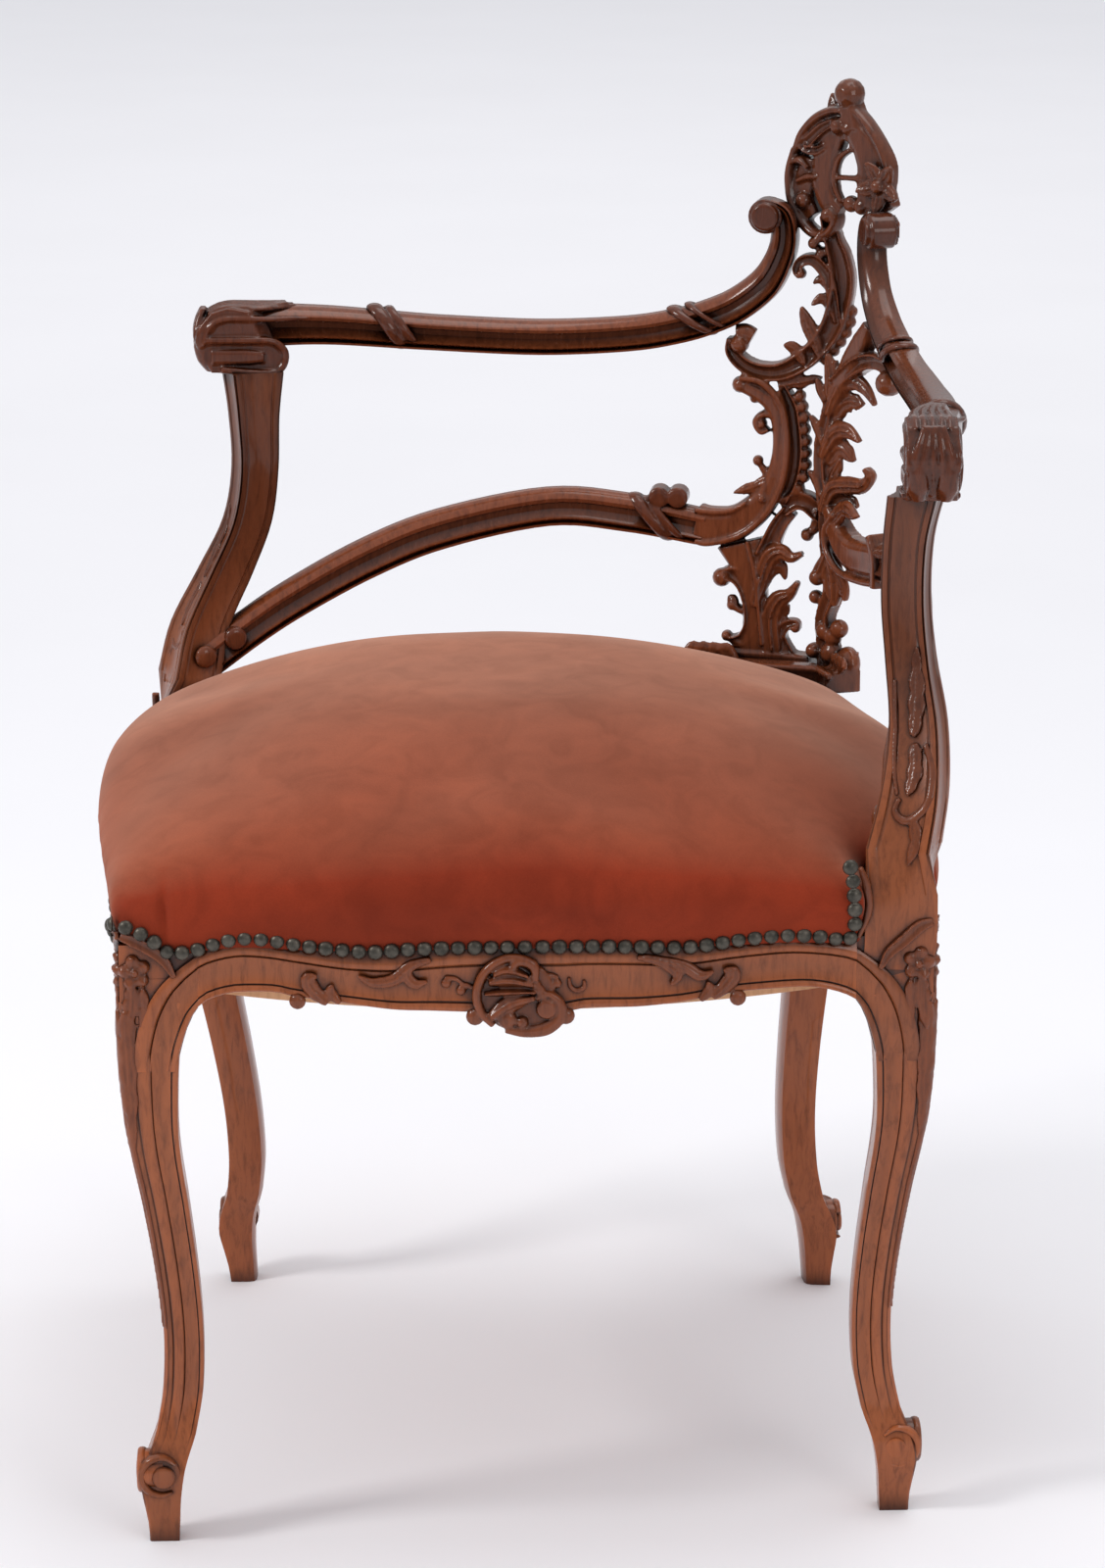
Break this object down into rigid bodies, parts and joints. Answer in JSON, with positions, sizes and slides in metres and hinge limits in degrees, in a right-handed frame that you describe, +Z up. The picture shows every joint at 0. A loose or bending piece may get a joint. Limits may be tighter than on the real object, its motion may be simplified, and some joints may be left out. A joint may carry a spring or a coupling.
{
  "type": "corner chair",
  "caption": "Ornate rococo-style corner chair with carved cabriole legs, open scrolled arms, a pierced carved back at the rear corner and a domed velvet seat edged with nails.",
  "frame": {"origin": "floor level under the middle of the overall outline", "axes": "+Z up; -Y to the front corner of the seat; +Y to the tall back corner; +X and -X to the two arm corners"},
  "size_m": [0.7524, 0.7426, 0.926],
  "materials": {
    "walnut": "waxed carved walnut, darker in the recesses",
    "beech": "bare pale wood",
    "velvet": "rust velvet with a pale nap",
    "webbing": "jute twill",
    "canvas": "plain hessian",
    "hair": "curled hair stuffing",
    "nail_bronze": "dark bronze, worn",
    "screw_steel": "dull steel"
  },
  "bodies": {
    "root": {"front_leg": "walnut", "right_leg": "walnut", "back_leg": "walnut", "left_leg": "walnut", "front_right_rail": "walnut", "back_right_rail": "walnut", "back_left_rail": "walnut", "front_left_rail": "walnut", "left_arm": "walnut", "right_arm": "walnut", "left_lower_rail": "walnut", "right_lower_rail": "walnut", "left_splat": "walnut", "right_splat": "walnut", "splat_shoe": "walnut", "crest": "walnut", "front_right_liner": "beech", "back_right_liner": "beech", "back_left_liner": "beech", "front_left_liner": "beech", "corner_blocks": "beech", "crest_dowels": "beech", "splat_dowels": "beech", "shoe_dowels": "beech", "front_right_nails": "nail_bronze", "back_right_nails": "nail_bronze", "back_left_nails": "nail_bronze", "front_left_nails": "nail_bronze", "corner_block_screws": "screw_steel", "webbing_lengthwise": "webbing", "webbing_crosswise": "webbing", "seat_canvas": "canvas", "hair_pad": "hair", "velvet_cover": "velvet"}
  },
  "joints": []
}
